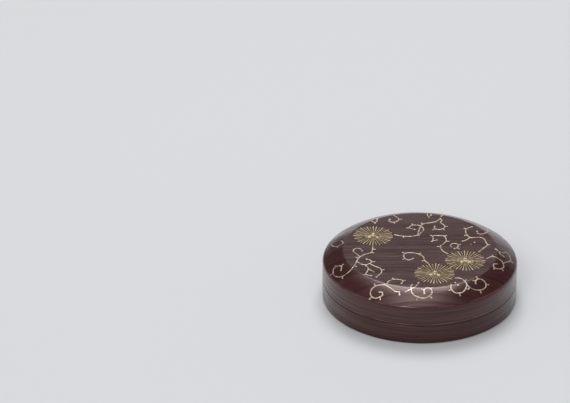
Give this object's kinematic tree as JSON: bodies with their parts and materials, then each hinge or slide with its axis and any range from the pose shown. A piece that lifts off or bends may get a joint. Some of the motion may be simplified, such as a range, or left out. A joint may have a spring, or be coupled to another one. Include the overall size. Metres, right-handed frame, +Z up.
{
  "type": "incense box",
  "caption": "Round flat lacquered wooden incense box with a lift-off lid, a sloping shoulder and raised gold chrysanthemums and vine scrolls.",
  "frame": {"origin": "middle of the foot, on the surface that the box stands on", "axes": "+Z up through the lid, -Y towards the front of the box, +X to the right seen from the front"},
  "size_m": [0.076, 0.076, 0.0203],
  "materials": {
    "lacquered_wood": "satin reddish-brown lacquer over visible grain",
    "inner_lacquer": "plain dark lacquer",
    "gold": "fine gold powder on raised lacquer"
  },
  "bodies": {
    "lower_box": {"body_floor_board": "inner_lacquer", "body_hoop": "lacquered_wood", "inner_rim_hoop": "inner_lacquer"},
    "lid": {"lid_hoop": "lacquered_wood", "lid_top_board": "lacquered_wood", "chrysanthemum_rear_left": "gold", "chrysanthemum_front": "gold", "chrysanthemum_right": "gold", "vine_left": "gold", "vine_left_shoulder": "gold", "vine_front_left": "gold", "vine_front_centre": "gold", "vine_front_right": "gold", "vine_right": "gold", "vine_rear_right": "gold", "vine_rear_right_edge": "gold", "vine_middle": "gold", "vine_centre": "gold", "vine_rear_centre": "gold", "vine_rear_left": "gold", "vine_back_left": "gold", "vine_back_right": "gold"}
  },
  "joints": [
    {"name": "lid_lift", "type": "slide", "parent": "lower_box", "child": "lid", "axis": [0, 0, 1], "range_m": [0, 0.05]}
  ]
}
